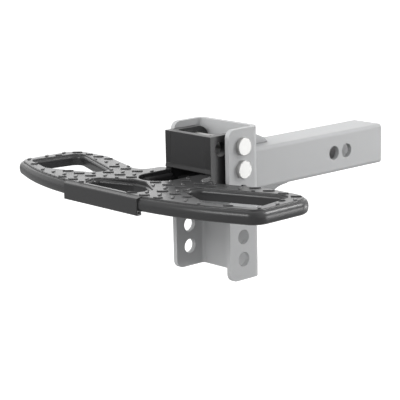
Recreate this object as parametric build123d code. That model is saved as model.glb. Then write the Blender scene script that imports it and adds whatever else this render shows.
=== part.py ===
from build123d import *
import math
import os

# Hitch receiver step: a square shank carries an upright channel with rows of pin holes, a welded
# bracket hangs in the channel on two pins, and a moulded step pad is bolted to the bracket's tongue.
# Millimetres, +Z up. The origin is on the shank's axis at its outer hitch-pin hole, +Y runs along the
# shank towards the vehicle, -Y points at the person stepping up, and X is across.

# Shank: square tube for a 2 in receiver, with two hitch-pin holes
shank_size = 50.8
shank_wall = 6.35
shank_corner = 4.8
shank_end_reach = 66.5      # hitch-pin hole to the free end
shank_web_reach = 178.6     # hitch-pin hole to the channel's web
hitch_hole_pitch = 23.2
pin_hole = 17.5             # every hole for a 5/8 in pin

# Channel: folded plate, open to the front, with a row of pin holes in each flange
channel_width = 100.8
channel_depth = 50.0
channel_height = 181.0
channel_wall = 6.35
channel_bend = 4.0          # inside radius of the two folds
flange_corner = 10.0
top_margin = 21.1           # channel top to the first hole
hole_pitch = 27.0
hole_rows = 6
hole_from_web = 28.5        # web's back face to the row of holes
shank_drop = 37.3           # first hole down to the shank's axis

# Gusset plates and weld between the shank and the channel's web
gusset_plate = 9.5
top_gusset_run = 59.0
top_gusset_rise = 28.5
top_gusset_toe = 6.0        # blunt end on the shank
top_gusset_nose = 5.5
low_gusset_run = 100.0
low_gusset_toe = 6.35       # blunt end under the shank
low_gusset_nose = 8.0
low_gusset_scoop = 54.0     # radius of the hollow edge
low_gusset_shoulder = 10.0
low_gusset_foot = 8.0
shank_weld_leg = 5.0
shank_weld_slope = 44.0     # degrees from the shank's length

# Bracket: two side plates and a front plate welded on a tongue plate
bracket_plate = 9.5
bracket_width = 78.6
bracket_top = 14.5          # above the upper pin
bracket_foot = 45.5         # upper pin down to the tongue
bracket_front_reach = 39.9  # pins' row to the front face
bracket_back_reach = 21.0   # pins' row to the back edge
bracket_back_corner = 16.0
spare_hole_forward = 23.9
spare_hole_drop = 1.4
front_plate_height = 43.4
lip_height = 5.2            # sloped lip along the front plate's lower edge
lip_proud = 1.4
bracket_weld_leg = 4.0

# Tongue plate: runs from the bracket forward under the pad and ends in two ears
tongue_plate = 6.35
tongue_neck = 30.0          # front face forward to where it widens
tongue_ear_x = 68.0
tongue_ear_start = 56.0
tongue_ear_end = 88.5
tongue_notch_x = 46.0
tongue_notch_depth = 64.0
tongue_round = 8.0

# Pins and hairpin clips
pin_diameter = 15.875
pin_head_diameter = 21.2
pin_head_thick = 5.1
pin_edge = 0.8
pin_tail = 11.5             # past the flange's outer face
clip_wire = 3.0
clip_hole = 3.6
clip_setback = 3.7          # flange's outer face to the clip's middle
clip_grip = 0.16            # gap between the clip's curved leg and the pin
clip_tip = 13.0             # straight leg past the pin's axis
clip_loop_reach = 38.0
clip_loop_height = 11.0
clip_dip = 3.6              # where the curved leg comes close to the straight one
clip_flare = 2.0
clip_shoulder = 1.0         # curved leg's flat, past the pin's side
clip_loop_bend = 4.6
clip_dip_bend = 2.6
clip_crest_bend = 4.0
clip_flare_bend = 2.4

# Step pad: moulded, a deck on a slightly wider base, with a ledge all round and in its windows.
# Plan points are (across, forward of the bracket's front face, corner radius), right half only.
pad_deck = 15.95            # deck above the tongue
pad_ledge = 11.5            # ledge above the tongue
pad_wall = 6.0
pad_skin = 2.5              # under the ledge
window_wall_rise = 2.2      # window walls stop this much above the pad's foot
rim_step = 5.0              # ledge's width outside
window_step = 3.1           # ledge's width in the windows
horn_step = 3.0
horn_end_step = 2.0
deck_round = 1.6
window_round = 1.6
rim_round = 4.6
ledge_round = 2.8           # window ledges' inner edge
foot_edge = 1.0
corner_least = 4.0          # least radius of the deck's upright corners
edge_near = 1.0             # an edge this near a window's outline belongs to the window
level_near = 0.01
rim_front = [(113.7, 132.5, 365.0), (211.6, 92.7, 20.0)]
rim_back = [(209.8, 0.0, 29.0), (140.0, 0.0, 30.0)]
rim_horn = [(50.0, 29.0, 12.0), (47.0, 0.7, 5.5), (22.0, 0.7, 5.5)]
rear_opening = (22.0, 64.5, 21.5)
side_window = [(42.8, 66.5, 16.0), (141.2, 100.0, 14.0), (196.0, 83.9, 10.0), (184.9, 12.7, 14.0)]
centre_window = [(42.0, 121.7, 11.0), (52.5, 97.5, 9.0), (10.0, 73.2, 12.0)]
pad_rib = 3.0
pad_rib_places = [95.0, 125.0, 160.0]

# Tread: raised lozenges on the deck, in rows that lean one way and then the other
tread_length = 13.0
tread_width = 4.2
tread_height = 1.2
tread_across = 21.2         # between lozenges of one row
tread_forward = 26.6        # between rows of one lean
tread_first_row = 121.5     # forward of the bracket's front face
tread_lean = 45.0
tread_margin = 0.4          # kept clear inside the deck's rounded edges
tread_least = 16.0          # a lozenge cut smaller than this area is left out
tread_columns = 10          # each side of the middle
tread_rows = 5

# Apron along the pad's front edge
apron_width = 129.4
apron_front = 134.0         # forward of the bracket's front face
apron_thick = 7.0
apron_drop = 5.2            # below the pad's foot
apron_top_drop = 2.0        # front edge below the deck
apron_slope = 11.0          # from the front edge back to the deck
apron_round = 1.5
apron_hole = 3.2
apron_hole_depth = 12.0
apron_hole_inset = 3.6
apron_hole_rise = 3.3

# Bolts and washers that hold the pad on the tongue, from below
bolt_places = [(32.0, 59.7), (57.0, 76.7)]
bolt_diameter = 8.0
bolt_length = 16.0
bolt_head_flats = 13.0
bolt_head_height = 5.3
bolt_hole = 9.0
bolt_boss = 16.0
bolt_boss_clearance = 0.05  # radial
bolt_end_room = 1.0
washer_diameter = 17.0
washer_bore = 8.4
washer_thick = 1.6

# Levels and lines that follow from the sizes above
web_back = -shank_web_reach
web_front = web_back - channel_wall
flange_front = web_back - channel_depth
flange_outer = channel_width / 2
hole_line = web_back - hole_from_web
hole_heights = [shank_drop - hole_pitch * row for row in range(hole_rows)]
pin_heights = hole_heights[:2]
channel_top = shank_drop + top_margin
channel_foot = channel_top - channel_height
shank_top = shank_size / 2
bracket_front = hole_line - bracket_front_reach
bracket_back = hole_line + bracket_back_reach
bracket_side = bracket_width / 2
bracket_inner = bracket_side - bracket_plate
bracket_top_z = shank_drop + bracket_top
tongue_top = shank_drop - bracket_foot
tongue_foot = tongue_top - tongue_plate
ledge_z = tongue_top + pad_ledge
deck_z = tongue_top + pad_deck
skin_z = ledge_z - pad_skin


def rounded_face(corners):
    """Flat face in XY with straight sides and rounded corners, from (x, y, radius)."""
    points = [(x, y) for x, y, _ in corners]
    radii = [radius for _, _, radius in corners]
    return make_face(FilletPolyline(*points, radius=radii, close=True))


def moved_sides(corners, steps, least=0.0):
    """The same outline with side i, from corner i to the next, moved to its left by steps[i]."""
    count = len(corners)
    sides = []
    for i in range(count):
        (x0, y0, _), (x1, y1, _) = corners[i], corners[(i + 1) % count]
        length = math.hypot(x1 - x0, y1 - y0)
        along = ((x1 - x0) / length, (y1 - y0) / length)
        start = (x0 - along[1] * steps[i], y0 + along[0] * steps[i])
        sides.append((start, along))
    result = []
    for i in range(count):
        (p, a), (q, b) = sides[i - 1], sides[i]
        turn = a[0] * b[1] - a[1] * b[0]
        reach = ((q[0] - p[0]) * b[1] - (q[1] - p[1]) * b[0]) / turn
        step = min(steps[i - 1], steps[i])
        radius = corners[i][2] + (step if turn < 0 else -step)
        result.append((p[0] + a[0] * reach, p[1] + a[1] * reach, max(radius, least)))
    return result


def forward(points):
    """Plan points given forward of the bracket's front face, in the part's own frame."""
    return [(x, bracket_front - reach, radius) for x, reach, radius in points]


def both_halves(points):
    """A right half, listed counter-clockwise from the front, closed by its mirror image."""
    right = forward(points)
    return right + [(-x, y, radius) for x, y, radius in reversed(right)]


def slab(face, low, high):
    return Pos(0, 0, low) * extrude(face, high - low)


def across(face, left, right):
    """Extrude a face drawn in (y, z) along X."""
    return Pos(left, 0, 0) * extrude(Plane.YZ * face, right - left)


def cross_rod(y, z, diameter, left, right):
    middle = (left + right) / 2
    return Pos(middle, y, z) * Rot(0, 90, 0) * Cylinder(diameter / 2, right - left)


def box(low, high):
    size = [b - a for a, b in zip(low, high)]
    middle = [(a + b) / 2 for a, b in zip(low, high)]
    return Pos(*middle) * Box(*size)


def shank_square(size, corner):
    """Square section of the shank, drawn across Y."""
    return Plane.XZ * RectangleRounded(size, size, corner)


def receiver_shank():
    length = shank_end_reach + shank_web_reach
    bore = shank_size - 2 * shank_wall
    section = shank_square(shank_size, shank_corner) - shank_square(bore, shank_corner - shank_wall / 2)
    tube = Pos(0, shank_end_reach, 0) * extrude(section, length)
    for y in (0, -hitch_hole_pitch):
        tube -= cross_rod(y, 0, pin_hole, -shank_size, shank_size)
    return tube


def height_channel():
    inner = flange_outer - channel_wall
    outer_bend = channel_bend + channel_wall
    right = [(flange_outer, flange_front, 0), (flange_outer, web_back, outer_bend)]
    inside = [(-inner, web_front, channel_bend), (inner, web_front, channel_bend)]
    left = [(-flange_outer, web_back, outer_bend), (-flange_outer, flange_front, 0)]
    plan = right + left + [(-inner, flange_front, 0)] + inside + [(inner, flange_front, 0)]
    folded = slab(rounded_face(plan), channel_foot, channel_top)
    side = [
        (flange_front, channel_foot, flange_corner),
        (web_back, channel_foot, 0),
        (web_back, channel_top, 0),
        (flange_front, channel_top, flange_corner),
    ]
    channel = folded & across(rounded_face(side), -flange_outer, flange_outer)
    for z in hole_heights:
        channel -= cross_rod(hole_line, z, pin_hole, -channel_width, channel_width)
    return channel


def top_gusset():
    tip = web_back + top_gusset_run
    corners = [
        (web_back, shank_top, 0),
        (tip, shank_top, 0),
        (tip - top_gusset_nose, shank_top + top_gusset_toe, 0),
        (web_back, shank_top + top_gusset_rise, 0),
    ]
    return across(rounded_face(corners), -gusset_plate / 2, gusset_plate / 2)


def bottom_gusset():
    tip = web_back + low_gusset_run
    nose = tip - low_gusset_nose
    toe_z = -shank_top - low_gusset_toe
    scoop_end = (nose - low_gusset_scoop, toe_z - low_gusset_scoop)
    chord = low_gusset_scoop * math.sqrt(0.5)
    scoop_middle = (nose - chord, toe_z - low_gusset_scoop + chord)
    shoulder = (scoop_end[0] - low_gusset_foot, scoop_end[1] - low_gusset_shoulder)
    foot = (web_back, shoulder[1] - low_gusset_foot)
    upper = Polyline((web_back, -shank_top), (tip, -shank_top), (nose, toe_z))
    scoop = ThreePointArc((nose, toe_z), scoop_middle, scoop_end)
    lower = Polyline(scoop_end, shoulder, foot, (web_back, -shank_top))
    return across(make_face([upper, scoop, lower]), -gusset_plate / 2, gusset_plate / 2)


def shank_weld(gussets):
    """Fillet weld round the shank where it meets the web, broken by the gussets."""
    wide = shank_size + 2 * shank_weld_leg
    base = Plane((0, web_back, 0), x_dir=(1, 0, 0), z_dir=(0, 1, 0))
    foot = base * RectangleRounded(wide, wide, shank_corner + shank_weld_leg)
    bead = extrude(foot, shank_weld_leg, taper=shank_weld_slope)
    bead -= Pos(0, shank_end_reach, 0) * extrude(
        shank_square(shank_size, shank_corner), shank_end_reach + shank_web_reach
    )
    for gusset in gussets:
        bead -= gusset
    return bead


def side_plate(side):
    corners = [
        (bracket_front, tongue_top, 0),
        (bracket_back, tongue_top, 0),
        (bracket_back, bracket_top_z, bracket_back_corner),
        (bracket_front, bracket_top_z, 0),
    ]
    left = bracket_inner if side > 0 else -bracket_side
    right = left + bracket_plate
    plate = across(rounded_face(corners), left, right)
    holes = [(hole_line, z) for z in pin_heights]
    holes.append((hole_line - spare_hole_forward, shank_drop - spare_hole_drop))
    for y, z in holes:
        plate -= cross_rod(y, z, pin_hole, left - bracket_plate, right + bracket_plate)
    return plate


def front_plate():
    foot = bracket_top_z - front_plate_height
    back = bracket_front + bracket_plate
    plate = box((-bracket_inner, bracket_front, foot), (bracket_inner, back, bracket_top_z))
    proud = bracket_front - lip_proud
    lip = [(bracket_front, foot, 0), (bracket_front, foot + lip_height, 0), (proud, foot, 0)]
    return plate + across(rounded_face(lip), -bracket_side, bracket_side)


def bracket_weld():
    """Fillet welds in the bracket's inner corners: along the tongue and behind the front plate."""
    leg = bracket_weld_leg
    plate_back = bracket_front + bracket_plate
    foot = bracket_top_z - front_plate_height
    beads = []
    for side in (-1, 1):
        wall = side * bracket_inner
        along = [(wall, tongue_top, 0), (wall - side * leg, tongue_top, 0), (wall, tongue_top + leg, 0)]
        start = Plane((0, bracket_back, 0), x_dir=(1, 0, 0), z_dir=(0, -1, 0))
        beads.append(extrude(start * rounded_face(along), bracket_back - plate_back))
        upright = [(wall, plate_back, 0), (wall - side * leg, plate_back, 0), (wall, plate_back + leg, 0)]
        beads.append(slab(rounded_face(upright), foot, bracket_top_z))
    return beads


def tongue():
    plan = both_halves([
        (tongue_notch_x, tongue_ear_end, tongue_round),
        (tongue_ear_x, tongue_ear_end, tongue_round),
        (tongue_ear_x, tongue_ear_start, tongue_round),
        (bracket_side, tongue_neck, tongue_round),
        (bracket_side, bracket_front - bracket_back, 0),
    ])
    notch = (0, bracket_front - tongue_notch_depth, tongue_round)
    plate = slab(rounded_face(plan + [notch]), tongue_foot, tongue_top)
    for x, y in bolt_points():
        plate -= Pos(x, y, (tongue_foot + tongue_top) / 2) * Cylinder(bolt_hole / 2, 2 * tongue_plate)
    return plate


def bolt_points():
    return [(side * x, bracket_front - reach) for x, reach in bolt_places for side in (-1, 1)]


def pin(z):
    """Headed pin from the right, with a cross hole in its tail for the clip."""
    head = cross_rod(0, 0, pin_head_diameter, flange_outer, flange_outer + pin_head_thick)
    head = chamfer(head.edges().filter_by(GeomType.CIRCLE).sort_by(Axis.X)[-1], pin_edge)
    tail_end = -flange_outer - pin_tail
    shaft = cross_rod(0, 0, pin_diameter, tail_end, flange_outer)
    shaft = chamfer(shaft.edges().filter_by(GeomType.CIRCLE).sort_by(Axis.X)[0], pin_edge)
    cross = Pos(clip_x(), 0, 0) * Rot(90, 0, 0) * Cylinder(clip_hole / 2, 2 * pin_diameter)
    return Pos(0, hole_line, z) * (head + shaft - cross)


def clip_x():
    return -flange_outer - clip_setback


def clip(z):
    """Hairpin clip: its straight leg goes through the pin, its curved leg grips over the pin's top."""
    crest = pin_diameter / 2 + clip_wire / 2 + clip_grip
    shoulder = pin_diameter / 2 + clip_shoulder
    dip = pin_diameter / 2 + clip_dip
    route = [
        (-clip_tip, 0),
        (clip_loop_reach, 0),
        (clip_loop_reach, clip_loop_height),
        (dip, clip_dip),
        (shoulder, crest),
        (-shoulder, crest),
        (-dip, clip_dip),
        (-dip - 2 * clip_flare, clip_dip + clip_flare),
    ]
    crest_bends = [clip_crest_bend, clip_crest_bend]
    bends = [clip_loop_bend, clip_loop_bend, clip_dip_bend, *crest_bends, clip_flare_bend]
    upright = Plane((clip_x(), hole_line, z), x_dir=(0, 1, 0), z_dir=(1, 0, 0))
    line = upright * FilletPolyline(*route, radius=bends)
    start = Plane((clip_x(), hole_line - clip_tip, z), x_dir=(1, 0, 0), z_dir=(0, 1, 0))
    return sweep(start * Circle(clip_wire / 2), path=line)


def rim_outline():
    return both_halves(rim_front + rim_back + rim_horn + [rear_opening])


def per_side(front, horn, horn_end, opening):
    """Steps for each side of the rim: sides run from the front round the right half and back."""
    right = [front] * 4 + [horn, horn_end, opening]
    return right + [opening] + right[::-1] + [front]


def windows(step):
    """The three windows, made smaller by a step on every side."""
    right = forward(side_window)
    left = [(-x, y, radius) for x, y, radius in reversed(right)]
    middle = both_halves(centre_window)
    outlines = []
    for corners in (right, left, middle):
        outlines.append(moved_sides(corners, [step] * len(corners)))
    return outlines


def cut_out(face, outlines):
    for corners in outlines:
        face -= rounded_face(corners)
    return face


def edges_at(solid, level):
    """Edges that lie flat at a height."""
    return solid.edges().filter_by_position(Axis.Z, level - level_near, level + level_near)


def inside_edges(solid, outlines, level):
    """Edges at a level that lie on the windows' outlines."""
    found = []
    for edge in edges_at(solid, level):
        middle = edge @ 0.5
        for corners in outlines:
            xs = [x for x, _, _ in corners]
            ys = [y for _, y, _ in corners]
            across_it = min(xs) - edge_near < middle.X < max(xs) + edge_near
            along_it = min(ys) - edge_near < middle.Y < max(ys) + edge_near
            if across_it and along_it:
                found.append(edge)
                break
    return found


def outer_edges(solid, outlines, level):
    inner = inside_edges(solid, outlines, level)
    return [edge for edge in edges_at(solid, level) if edge not in inner]


def pad_base():
    openings = windows(window_step)
    base = slab(cut_out(rounded_face(rim_outline()), openings), tongue_top, ledge_z)
    base = fillet(outer_edges(base, openings, ledge_z), rim_round)
    base = fillet(inside_edges(base, openings, ledge_z), ledge_round)
    return chamfer(outer_edges(base, openings, tongue_top), foot_edge)


def pad_deck_layer():
    openings = windows(0)
    steps = per_side(rim_step, horn_step, horn_end_step, window_step)
    plan = rounded_face(moved_sides(rim_outline(), steps, corner_least))
    deck = slab(cut_out(plan, openings), ledge_z - rim_round, deck_z)
    deck = fillet(outer_edges(deck, openings, deck_z), deck_round)
    return fillet(inside_edges(deck, openings, deck_z), window_round)


def pad_hollow():
    """Space under the pad's skin, broken by ribs, bolt bosses and the walls round the windows."""
    outer = rounded_face(moved_sides(rim_outline(), per_side(pad_wall, pad_wall, pad_wall, pad_wall)))
    window_foot = tongue_top + window_wall_rise
    inner = cut_out(outer, windows(-pad_wall))
    hollow = slab(outer, tongue_top, window_foot) + slab(inner, window_foot, skin_z)
    depth = bracket_front - apron_front
    for place in pad_rib_places:
        for side in (-1, 1):
            middle = side * place
            hollow -= box((middle - pad_rib / 2, depth, window_foot), (middle + pad_rib / 2, 0, skin_z))
    for x, y in bolt_points():
        hollow -= Pos(x, y, (tongue_top + skin_z) / 2) * Cylinder(bolt_boss / 2, skin_z - tongue_top)
    return hollow


def pad_apron():
    """Upright plate with a sloped top that runs up to the deck."""
    front = bracket_front - apron_front
    back = front + apron_thick
    foot = tongue_top - apron_drop
    corners = [
        (front, foot, 0),
        (back, foot, 0),
        (back, ledge_z, 0),
        (front + apron_slope, deck_z, 0),
        (front, deck_z - apron_top_drop, 0),
    ]
    apron = across(rounded_face(corners), -apron_width / 2, apron_width / 2)
    apron = fillet(apron.faces().sort_by(Axis.Y)[0].edges(), apron_round)
    for side in (-1, 1):
        middle = side * (apron_width - apron_hole_depth) / 2
        place = (middle, front + apron_hole_inset, foot + apron_hole_rise)
        apron -= Pos(*place) * Rot(0, 90, 0) * Cylinder(apron_hole / 2, apron_hole_depth)
    return apron


def tread_zone():
    """The flat of the deck where a lozenge may lie."""
    inset = rim_step + deck_round + tread_margin
    round_opening = window_step + deck_round + tread_margin
    flat = moved_sides(rim_outline(), per_side(inset, inset, inset, round_opening), corner_least)
    return cut_out(rounded_face(flat), windows(-window_round - tread_margin))


def tread():
    """Lozenges, cut off at the zone's edge; rows of the other lean stand half way between."""
    long, wide = tread_length / 2, tread_width / 2
    upper = [(long, 0), (long / 2, wide), (-long / 2, wide)]
    lozenge = make_face(Polyline(*upper, *[(-x, -y) for x, y in upper], close=True))
    zone = tread_zone()
    raised = []
    for lean, shift in ((tread_lean, 0), (-tread_lean, 0.5)):
        for row in range(tread_rows):
            y = bracket_front - tread_first_row + (row + shift) * tread_forward
            for column in range(-tread_columns, tread_columns + 1):
                spot = Pos((column + shift) * tread_across, y, 0) * Rot(0, 0, lean)
                inside = zone & (spot * lozenge)
                if inside and inside.area > tread_least:
                    raised.append(slab(inside, deck_z, deck_z + tread_height))
    return raised


def step_pad():
    pad = pad_base() + pad_deck_layer() - pad_hollow() + pad_apron() + tread()
    bore = bolt_diameter / 2 + bolt_boss_clearance
    bolt_top = tongue_foot - washer_thick + bolt_length
    depth = bolt_top + bolt_end_room - tongue_top
    for x, y in bolt_points():
        pad -= Pos(x, y, tongue_top + depth / 2) * Cylinder(bore, depth)
    return pad


def pad_bolts():
    seat = tongue_foot - washer_thick
    bolts = []
    for x, y in bolt_points():
        head = Pos(x, y, seat - bolt_head_height) * extrude(
            RegularPolygon(bolt_head_flats / 2, 6, major_radius=False), bolt_head_height
        )
        shank = Pos(x, y, seat + bolt_length / 2) * Cylinder(bolt_diameter / 2, bolt_length)
        bolts.append(head + shank)
    return bolts


def pad_washers():
    middle = tongue_foot - washer_thick / 2
    ring = Cylinder(washer_diameter / 2, washer_thick) - Cylinder(washer_bore / 2, washer_thick)
    return [Pos(x, y, middle) * ring for x, y in bolt_points()]


def write(node, shapes):
    solids = [solid for shape in shapes for solid in shape.solids()]
    export_step(solids[0] if len(solids) == 1 else Compound(children=solids), f"parts/{node}.step")


os.makedirs("parts", exist_ok=True)
gussets = {"top_gusset": top_gusset(), "bottom_gusset": bottom_gusset()}
write("receiver_shank", [receiver_shank()])
write("height_channel", [height_channel()])
for name, gusset in gussets.items():
    write(name, [gusset])
write("shank_weld", [shank_weld(gussets.values())])
write("left_side_plate", [side_plate(-1)])
write("right_side_plate", [side_plate(1)])
write("front_plate", [front_plate()])
write("tongue_plate", [tongue()])
write("bracket_weld", bracket_weld())
write("step_pad", [step_pad()])
write("pad_bolts", pad_bolts())
write("pad_washers", pad_washers())
for name, height in zip(("upper", "lower"), pin_heights):
    write(f"{name}_pin", [pin(height)])
    write(f"{name}_clip", [clip(height)])
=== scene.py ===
import math

import bmesh
import bpy
from mathutils import Matrix, Vector


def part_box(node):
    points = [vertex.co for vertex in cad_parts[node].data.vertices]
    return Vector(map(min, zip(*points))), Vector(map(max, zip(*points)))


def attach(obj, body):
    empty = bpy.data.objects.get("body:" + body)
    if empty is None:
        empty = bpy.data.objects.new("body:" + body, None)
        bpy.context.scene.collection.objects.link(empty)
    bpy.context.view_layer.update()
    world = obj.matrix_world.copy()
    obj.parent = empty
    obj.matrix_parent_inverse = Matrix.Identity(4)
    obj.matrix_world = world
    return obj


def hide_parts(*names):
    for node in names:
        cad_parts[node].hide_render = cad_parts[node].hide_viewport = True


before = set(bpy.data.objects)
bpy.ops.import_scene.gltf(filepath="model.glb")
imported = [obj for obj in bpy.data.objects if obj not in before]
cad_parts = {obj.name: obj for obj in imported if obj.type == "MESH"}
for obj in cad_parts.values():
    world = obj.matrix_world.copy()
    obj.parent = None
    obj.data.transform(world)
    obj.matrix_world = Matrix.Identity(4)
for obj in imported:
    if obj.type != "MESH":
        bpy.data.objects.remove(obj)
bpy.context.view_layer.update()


# Receiver shank
# Square steel tube with two hitch-pin holes drilled across it, finished in light grey satin paint.
# Cut to length, so its ends are flat, with slightly rolled edges.
def softened(node, roll, reshape=None):
    """A copy of a node's solid with its sharp outer edges rolled over by a small radius."""
    same_place = 1e-6
    flat_deg = 0.4
    sharp_deg = 28.0
    smooth_deg = 40.0
    roll_steps = 2
    round_profile = 0.5
    sliver = 5e-6
    shape = bmesh.new()
    shape.from_mesh(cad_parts[node].data)
    bmesh.ops.remove_doubles(shape, verts=shape.verts, dist=same_place)
    bmesh.ops.dissolve_limit(
        shape, angle_limit=math.radians(flat_deg), verts=shape.verts, edges=shape.edges
    )
    if reshape:
        reshape(shape)
    sharp = [
        edge for edge in shape.edges
        if edge.is_convex and edge.calc_face_angle(0.0) > math.radians(sharp_deg)
    ]
    bmesh.ops.bevel(
        shape, geom=sharp, offset=roll, offset_type="OFFSET", segments=roll_steps,
        profile=round_profile, affect="EDGES", clamp_overlap=True,
    )
    bmesh.ops.remove_doubles(shape, verts=shape.verts, dist=sliver)
    bmesh.ops.dissolve_degenerate(shape, edges=shape.edges, dist=sliver)
    mesh = bpy.data.meshes.new(f"{node}_finished")
    shape.to_mesh(mesh)
    shape.free()
    mesh.polygons.foreach_set("use_smooth", [True] * len(mesh.polygons))
    mesh.set_sharp_from_angle(angle=math.radians(smooth_deg))
    piece = bpy.data.objects.new(f"{node}_finished", mesh)
    bpy.context.scene.collection.objects.link(piece)
    normals = piece.modifiers.new("even shading", "WEIGHTED_NORMAL")
    normals.keep_sharp = True
    return piece


def dress(node, roll, material, body="step", reshape=None):
    """Finish a node: roll its edges, coat it, and let the new piece stand for the solid."""
    piece = softened(node, roll, reshape)
    piece.data.materials.append(material)
    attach(piece, body)
    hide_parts(node)


def add(tree, kind, values=None, **settings):
    """A shader node with its socket values and settings."""
    made = tree.nodes.new(kind)
    for name, value in settings.items():
        setattr(made, name, value)
    for name, value in (values or {}).items():
        made.inputs[name].default_value = value
    return made


def group_with(name, inputs, outputs):
    """An empty shader node group with named number sockets, and its two end nodes."""
    tree = bpy.data.node_groups.new(name, "ShaderNodeTree")
    for socket in inputs:
        tree.interface.new_socket(socket, in_out="INPUT", socket_type="NodeSocketFloat")
    for socket in outputs:
        tree.interface.new_socket(socket, in_out="OUTPUT", socket_type="NodeSocketFloat")
    return tree, add(tree, "NodeGroupInput"), add(tree, "NodeGroupOutput")


def surface_grain_group():
    """Fine grain, as a height, and broad soft patches, both fixed to the piece."""
    tree, source, target = group_with(
        "surface grain", ("Grains per metre", "Patches per metre"), ("Grain", "Patches")
    )
    place = add(tree, "ShaderNodeTexCoord")
    grain = add(tree, "ShaderNodeTexNoise", {"Detail": 2.0, "Roughness": 0.55})
    patch = add(tree, "ShaderNodeTexNoise", {"Detail": 3.0, "Roughness": 0.5})
    tree.links.new(place.outputs["Object"], grain.inputs["Vector"])
    tree.links.new(place.outputs["Object"], patch.inputs["Vector"])
    tree.links.new(source.outputs["Grains per metre"], grain.inputs["Scale"])
    tree.links.new(source.outputs["Patches per metre"], patch.inputs["Scale"])
    tree.links.new(grain.outputs["Fac"], target.inputs["Grain"])
    tree.links.new(patch.outputs["Fac"], target.inputs["Patches"])
    return tree


def edge_highlight_group():
    """A mask of the edges, for a painted highlight: one on a sharp edge, nought on a flat."""
    flat_cosine = 0.995
    edge_cosine = 0.80
    tree, source, target = group_with("edge rub", ("Reach",), ("Edge",))
    rounded = add(tree, "ShaderNodeBevel", samples=4)
    surface = add(tree, "ShaderNodeNewGeometry")
    agree = add(tree, "ShaderNodeVectorMath", operation="DOT_PRODUCT")
    mask = add(tree, "ShaderNodeMapRange", {"From Min": flat_cosine, "From Max": edge_cosine})
    tree.links.new(source.outputs["Reach"], rounded.inputs["Radius"])
    tree.links.new(rounded.outputs["Normal"], agree.inputs[0])
    tree.links.new(surface.outputs["Normal"], agree.inputs[1])
    tree.links.new(agree.outputs["Value"], mask.inputs["Value"])
    tree.links.new(mask.outputs["Result"], target.inputs["Edge"])
    return tree


surface_grain = surface_grain_group()
painted_edge_highlight = edge_highlight_group()


def grained(name, dark, light, rough, grains, patches, bump, depth):
    """A finish with a fine grain, and soft patches between two colours and two roughnesses."""
    material = bpy.data.materials.new(name)
    material.use_nodes = True
    tree = material.node_tree
    shader = tree.nodes["Principled BSDF"]
    grain = add(tree, "ShaderNodeGroup", node_tree=surface_grain)
    grain.inputs["Grains per metre"].default_value = grains
    grain.inputs["Patches per metre"].default_value = patches
    tone = add(tree, "ShaderNodeMix", {"A": (*dark, 1), "B": (*light, 1)}, data_type="RGBA")
    spread = add(tree, "ShaderNodeMapRange", {"To Min": rough[0], "To Max": rough[1]})
    raised = add(tree, "ShaderNodeBump", {"Strength": bump, "Distance": depth})
    tree.links.new(grain.outputs["Patches"], tone.inputs["Factor"])
    tree.links.new(tone.outputs["Result"], shader.inputs["Base Color"])
    tree.links.new(grain.outputs["Patches"], spread.inputs["Value"])
    tree.links.new(spread.outputs["Result"], shader.inputs["Roughness"])
    tree.links.new(grain.outputs["Grain"], raised.inputs["Height"])
    tree.links.new(raised.outputs["Normal"], shader.inputs["Normal"])
    return material


def coated(name, dark, light, edge, rough, grains, bump, shine):
    """A grained coat with a painted highlight, in a third colour, on the edges."""
    coat_patches = 14.0
    coat_depth = 0.0003
    highlight_reach = 0.0008
    material = grained(name, dark, light, rough, grains, coat_patches, bump, coat_depth)
    tree = material.node_tree
    shader = tree.nodes["Principled BSDF"]
    shader.inputs["Specular IOR Level"].default_value = shine
    tone = shader.inputs["Base Color"].links[0].from_socket
    highlight_mask = add(tree, "ShaderNodeGroup", node_tree=painted_edge_highlight)
    highlight_mask.inputs["Reach"].default_value = highlight_reach
    # The edges are lightened by the mask: a painted highlight, not wear.
    highlighted = add(tree, "ShaderNodeMix", {"B": (*edge, 1)}, data_type="RGBA")
    tree.links.new(tone, highlighted.inputs["A"])
    tree.links.new(highlight_mask.outputs["Edge"], highlighted.inputs["Factor"])
    tree.links.new(highlighted.outputs["Result"], shader.inputs["Base Color"])
    return material


grey_paint = coated(
    "light grey satin paint",
    # edge: the lighter colour of the painted highlight along the edges
    dark=(0.45, 0.455, 0.46), light=(0.485, 0.49, 0.495), edge=(0.55, 0.55, 0.55),
    rough=(0.46, 0.56), grains=900.0, bump=0.10, shine=0.35,
)
shank_roll = 0.0009
dress("receiver_shank", shank_roll, grey_paint)


# Height channel
# Folded steel plate, open to the front, with six pin holes punched through each flange.
# Same light grey paint as the shank it is welded to.
channel_roll = 0.0008
dress("height_channel", channel_roll, grey_paint)


# Gussets and the weld round the shank
# Flat steel plates on edge above and below the shank, and the bead that joins shank and web.
# Painted over with the rest of the mount.
gusset_roll = 0.0008
shank_weld_roll = 0.0012
for gusset in ("top_gusset", "bottom_gusset"):
    dress(gusset, gusset_roll, grey_paint)
dress("shank_weld", shank_weld_roll, grey_paint)


# Bracket
# Two side plates and a front plate of flat steel, welded to the tongue plate under the pad.
# Black powder coat, satin, with a painted highlight along the sheared edges.
black_coat = coated(
    "black powder coat",
    # edge: the lighter colour of the painted highlight along the edges
    dark=(0.017, 0.017, 0.018), light=(0.024, 0.024, 0.025), edge=(0.052, 0.052, 0.052),
    rough=(0.36, 0.46), grains=1100.0, bump=0.16, shine=0.55,
)
plate_roll = 0.0006
bracket_weld_roll = 0.0008
for plate in ("left_side_plate", "right_side_plate", "front_plate", "tongue_plate"):
    dress(plate, plate_roll, black_coat)
dress("bracket_weld", bracket_weld_roll, black_coat)


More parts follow.
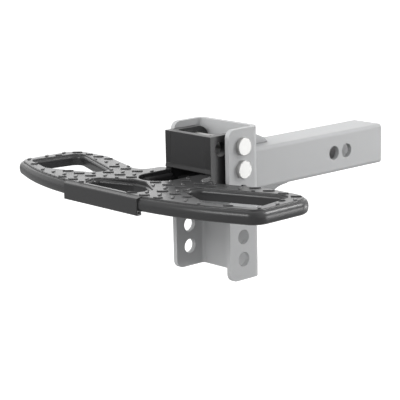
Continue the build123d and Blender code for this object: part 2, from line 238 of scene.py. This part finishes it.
# Step pad
# One black moulding: a deck with raised tread, three windows and a rear opening, a ledge round
# each and a full rim outside, and an apron in front. Satin, finely grained, bolted from below.
micron_digits = 6
tread_top = round(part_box("step_pad")[1].z, micron_digits)
deck_level = tread_top - 0.0012
ledge_level = deck_level - 0.00445
rim_level = ledge_level - 0.0046        # where the rim's upper round begins
foot_level = deck_level - 0.01595
foot_chamfer = 0.001
level_near = 1e-5
full_level = deck_level - 0.00175       # the ledges' height in the photograph
front_line = -0.33                      # the ledge is full all along the front of this line
low_half_width = 0.052                  # round the bracket the ledge stays low, out to here
ledge_ease = 0.02                       # and rises over this width
belly = 0.0022                          # how far the rim turns in on its way to the foot
belly_cuts = 4
tread_slope_width = 0.0009
tread_slope_drop = 0.00045
pad_roll = 0.0006


def ledge_share(place):
    """One along the front and the arms, nought round the bracket."""
    if place.y < front_line:
        return 1.0
    return min(max((abs(place.x) - low_half_width) / ledge_ease, 0.0), 1.0)


def at_level(corner, level):
    """Whether a corner of the mesh lies at a level."""
    return abs(corner.co.z - level) < level_near


def in_plan(corner):
    """A corner's place seen from above, to the micron."""
    return round(corner.co.x, micron_digits), round(corner.co.y, micron_digits)


def slope_tread(shape):
    """Slope the tread's tops down to their edges."""
    lowest_top = deck_level + level_near
    tops = [face for face in shape.faces if min(v.co.z for v in face.verts) > lowest_top]
    outer_corners = {corner for face in tops for corner in face.verts}
    bmesh.ops.inset_individual(shape, faces=tops, thickness=tread_slope_width, depth=0.0)
    for corner in outer_corners:
        corner.co.z -= tread_slope_drop


def turn_in_foot(shape):
    """Round the rim's upright wall inwards, down to the foot."""
    uprights = []
    for edge in shape.edges:
        low, high = sorted(edge.verts, key=lambda v: v.co.z)
        if at_level(high, rim_level) and at_level(low, foot_level + foot_chamfer):
            uprights.append(edge)
    outward = {}
    for edge in uprights:
        walls = [face.normal for face in edge.link_faces]
        facing = Vector((sum(n.x for n in walls), sum(n.y for n in walls), 0.0)).normalized()
        low = min(edge.verts, key=lambda v: v.co.z)
        outward[in_plan(low)] = facing
        for below in low.link_edges:
            foot = below.other_vert(low)
            if at_level(foot, foot_level):
                outward[in_plan(foot)] = facing
    bmesh.ops.subdivide_edges(shape, edges=uprights, cuts=belly_cuts)
    for corner in shape.verts:
        facing = outward.get(in_plan(corner))
        if facing and foot_level - level_near < corner.co.z < rim_level - level_near:
            turn = min((rim_level - corner.co.z) / (rim_level - foot_level), 1.0)
            inward = belly * (1.0 - math.sqrt(1.0 - turn * turn))
            if at_level(corner, foot_level):
                inward -= foot_chamfer
            corner.co -= inward * facing


def fuller_rim(shape):
    """Raise the ledges to the photograph's height, and round the rim and the tread."""
    slope_tread(shape)
    turn_in_foot(shape)
    stretch = (full_level - rim_level) / (ledge_level - rim_level)
    for corner in shape.verts:
        if rim_level < corner.co.z < ledge_level + level_near:
            rise = (corner.co.z - rim_level) * (stretch - 1.0)
            corner.co.z += ledge_share(corner.co) * rise


moulding = coated(
    "black grained moulding",
    # edge: the lighter colour of the painted highlight along the edges
    dark=(0.020, 0.020, 0.021), light=(0.027, 0.027, 0.028), edge=(0.036, 0.036, 0.037),
    rough=(0.28, 0.36), grains=1500.0, bump=0.06, shine=0.60,
)
dress("step_pad", pad_roll, moulding, reshape=fuller_rim)


# Pad bolts and washers
# Hexagon bolts and flat washers of bright zinc-plated steel.
# Driven from below, through the tongue plate, into the pad's bosses.
def plated(name, colour, rough, grains):
    """Plated steel with a slight unevenness."""
    plate_patches = 60.0
    plate_bump = 0.08
    plate_depth = 0.0002
    dull_share = 0.86
    dull = tuple(dull_share * part for part in colour)
    material = grained(name, dull, colour, rough, grains, plate_patches, plate_bump, plate_depth)
    material.node_tree.nodes["Principled BSDF"].inputs["Metallic"].default_value = 1.0
    return material


zinc = plated("bright zinc plate", colour=(0.53, 0.53, 0.52), rough=(0.42, 0.54), grains=700.0)
bolt_roll = 0.0004
washer_roll = 0.0003
dress("pad_bolts", bolt_roll, zinc)
dress("pad_washers", washer_roll, zinc)


# Pins
# Turned steel pins with flat round heads against the right-hand flange, bright zinc plated.
# They pass through both flanges and the bracket, and are cross-drilled for the clips.
pin_roll = 0.0004
for pin in ("upper_pin", "lower_pin"):
    dress(pin, pin_roll, zinc)


# Hairpin clips
# Bent spring wire, plated: the straight leg goes through the pin, the curved leg grips over it.
# Each is pulled off its pin by hand, so it rides on a body of its own.
wire = plated("plated spring wire", colour=(0.72, 0.72, 0.72), rough=(0.24, 0.34), grains=900.0)
clip_roll = 0.0002
for clip in ("upper_clip", "lower_clip"):
    dress(clip, clip_roll, wire, body=clip)


# Camera
# Stands to the right of the pad and a little above it, as in the photograph.
# A long lens, turned a little about its own axis.
camera_place = Vector((1.2832, -1.3911, 0.3555))
camera_azimuth = math.radians(47.84)
camera_elevation = math.radians(12.56)
camera_roll = math.radians(-1.24)
back = Vector((
    math.sin(camera_azimuth) * math.cos(camera_elevation),
    -math.cos(camera_azimuth) * math.cos(camera_elevation),
    math.sin(camera_elevation),
))
level = Vector((math.cos(camera_azimuth), math.sin(camera_azimuth), 0.0))
upright = back.cross(level)
right = level * math.cos(camera_roll) + upright * math.sin(camera_roll)
up = upright * math.cos(camera_roll) - level * math.sin(camera_roll)
lens = bpy.data.cameras.new("camera")
lens.sensor_width = 36.0
lens.lens = 135.0
camera = bpy.data.objects.new("camera", lens)
turned = Matrix((right, up, back)).transposed().to_4x4()
camera.matrix_world = Matrix.Translation(camera_place) @ turned
bpy.context.scene.collection.objects.link(camera)
bpy.context.scene.camera = camera


# Lamps
# Six softboxes: five behind the part, from low on the left round to the right, and one in front.
# The front and right ones are placed so that the rim's rounds catch them.
def soft_lamp(name, place, target, size, watts):
    """A rectangular softbox, aimed at a point of the part."""
    data = bpy.data.lights.new(name, "AREA")
    data.shape = "RECTANGLE"
    data.size, data.size_y = size
    data.energy = watts
    lamp = bpy.data.objects.new(name, data)
    lamp.location = place
    aim = (Vector(target) - Vector(place)).to_track_quat("-Z", "Y")
    lamp.rotation_euler = aim.to_euler()
    bpy.context.scene.collection.objects.link(lamp)


# Lights the tops.
soft_lamp("back softbox", place=(-0.5, 1.3, 1.8), target=(0, -0.2, 0), size=(3.2, 1.8), watts=2.8)
# Lights the shank's side and the rim's right end.
soft_lamp(
    "right softbox", place=(1.4, 0.85, -0.2), target=(0.1, -0.25, 0), size=(0.6, 0.4), watts=5.0
)
# Makes the glint on the upper round of the rim's right end.
soft_lamp("rim lamp", place=(1.15, 1.02, 1.1), target=(0.1, -0.2, 0), size=(0.4, 0.8), watts=17.0)
# Makes the glint along the rim's front.
soft_lamp(
    "front softbox", place=(-0.05, -2.3, 0.9), target=(0.1, -0.3, 0), size=(0.7, 0.45), watts=11.0
)
# Makes the sheen along the deck.
soft_lamp("low softbox", place=(-1.65, 1.05, 0.35), target=(0, -0.2, 0), size=(2.2, 0.9), watts=6.5)
# Shows on the far corner of the rim's right end.
soft_lamp("back strip", place=(0.5, 1.45, -0.2), target=(0.1, -0.25, 0), size=(0.6, 0.4), watts=4.5)


# World
# White to the camera and through glass, and to reflections, but for a dimmer patch in front.
# The part itself is lit by a soft fill instead, strongest from the front left and from below.
fill_side = (-0.55, -0.70, -0.45)
fill_leans = (-1.0, 1.0)                # cosines to the fill's side
fill_strengths = (0.04, 2.30)
flag_side = (0.2, -0.93, 0.3)
flag_leans = (0.35, 0.95)
flag_strengths = (1.0, 0.4)
world = bpy.data.worlds.new("studio")
world.use_nodes = True
sky = world.node_tree
heading = add(sky, "ShaderNodeTexCoord")


def strength_by_side(side, leans, strengths):
    """A strength that changes with how far a direction leans to one side."""
    lean = add(sky, "ShaderNodeVectorMath", {1: side}, operation="DOT_PRODUCT")
    strength = add(sky, "ShaderNodeMapRange", {
        "From Min": leans[0], "From Max": leans[1],
        "To Min": strengths[0], "To Max": strengths[1],
    })
    sky.links.new(heading.outputs["Generated"], lean.inputs[0])
    sky.links.new(lean.outputs["Value"], strength.inputs["Value"])
    return strength.outputs["Result"]


def larger_of(tree, first, second):
    """The larger of two values."""
    larger = add(tree, "ShaderNodeMath", operation="MAXIMUM")
    tree.links.new(first, larger.inputs[0])
    tree.links.new(second, larger.inputs[1])
    return larger.outputs["Value"]


fill = sky.nodes["Background"]
fill.inputs["Color"].default_value = (1, 1, 1, 1)
sky.links.new(strength_by_side(fill_side, fill_leans, fill_strengths), fill.inputs["Strength"])
white = add(sky, "ShaderNodeBackground", {"Color": (1, 1, 1, 1)})
sky_ray = add(sky, "ShaderNodeLightPath")
flag = add(sky, "ShaderNodeMix", {"A": 1.0}, data_type="FLOAT")
sky.links.new(sky_ray.outputs["Is Glossy Ray"], flag.inputs["Factor"])
sky.links.new(strength_by_side(flag_side, flag_leans, flag_strengths), flag.inputs["B"])
sky.links.new(flag.outputs["Result"], white.inputs["Strength"])
sky_seen = larger_of(sky, sky_ray.outputs["Is Camera Ray"], sky_ray.outputs["Is Glossy Ray"])
sky_shown = larger_of(sky, sky_seen, sky_ray.outputs["Is Transmission Ray"])
choose = add(sky, "ShaderNodeMixShader")
sky.links.new(sky_shown, choose.inputs["Fac"])
sky.links.new(fill.outputs["Background"], choose.inputs[1])
sky.links.new(white.outputs["Background"], choose.inputs[2])
sky.links.new(choose.outputs["Shader"], sky.nodes["World Output"].inputs["Surface"])
bpy.context.scene.world = world


# Floor
# A wide matt sheet well below the part: white to the camera and through glass, a shade greyer
# under the part, and dim in reflections. Seen from below it is clear, to show the underside.
floor_level = -0.42
floor_half = 25.0
floor_colour = (0.28, 0.28, 0.28, 1)
floor_rough = 0.9
glow_reach = (0.6, 2.2)                 # distances from the frame's origin
glow_strengths = (0.92, 1.0)
reflected_share = 0.25
floor_corners = [
    (side_x * floor_half, side_y * floor_half, floor_level)
    for side_x, side_y in ((-1, -1), (1, -1), (1, 1), (-1, 1))
]
floor_mesh = bpy.data.meshes.new("floor")
floor_mesh.from_pydata(floor_corners, [], [(0, 1, 2, 3)])
floor = bpy.data.objects.new("floor", floor_mesh)
bpy.context.scene.collection.objects.link(floor)
white_sheet = bpy.data.materials.new("white floor")
white_sheet.use_nodes = True
sheet = white_sheet.node_tree
sheet_face = sheet.nodes["Principled BSDF"]
sheet_face.inputs["Base Color"].default_value = floor_colour
sheet_face.inputs["Roughness"].default_value = floor_rough
sheet_face.inputs["Specular IOR Level"].default_value = 0.0
sheet_face.inputs["Emission Color"].default_value = (1, 1, 1, 1)
spot = add(sheet, "ShaderNodeTexCoord")
away = add(sheet, "ShaderNodeVectorMath", operation="LENGTH")
glow = add(sheet, "ShaderNodeMapRange", {
    "From Min": glow_reach[0], "From Max": glow_reach[1],
    "To Min": glow_strengths[0], "To Max": glow_strengths[1],
})
sheet.links.new(spot.outputs["Object"], away.inputs[0])
sheet.links.new(away.outputs["Value"], glow.inputs["Value"])
sheet_ray = add(sheet, "ShaderNodeLightPath")
dimmed = add(sheet, "ShaderNodeMath", {1: reflected_share}, operation="MULTIPLY")
sheet.links.new(sheet_ray.outputs["Is Glossy Ray"], dimmed.inputs[0])
sheet_seen = larger_of(sheet, sheet_ray.outputs["Is Camera Ray"], dimmed.outputs["Value"])
sheet_shown = larger_of(sheet, sheet_seen, sheet_ray.outputs["Is Transmission Ray"])
shining = add(sheet, "ShaderNodeMath", operation="MULTIPLY")
sheet.links.new(glow.outputs["Result"], shining.inputs[0])
sheet.links.new(sheet_shown, shining.inputs[1])
sheet.links.new(shining.outputs["Value"], sheet_face.inputs["Emission Strength"])
facing_ray = add(sheet, "ShaderNodeNewGeometry")
opaque = add(sheet, "ShaderNodeMath", {0: 1.0}, operation="SUBTRACT")
sheet.links.new(facing_ray.outputs["Backfacing"], opaque.inputs[1])
sheet.links.new(opaque.outputs["Value"], sheet_face.inputs["Alpha"])
floor_mesh.materials.append(white_sheet)

bpy.context.scene.view_settings.view_transform = "Standard"
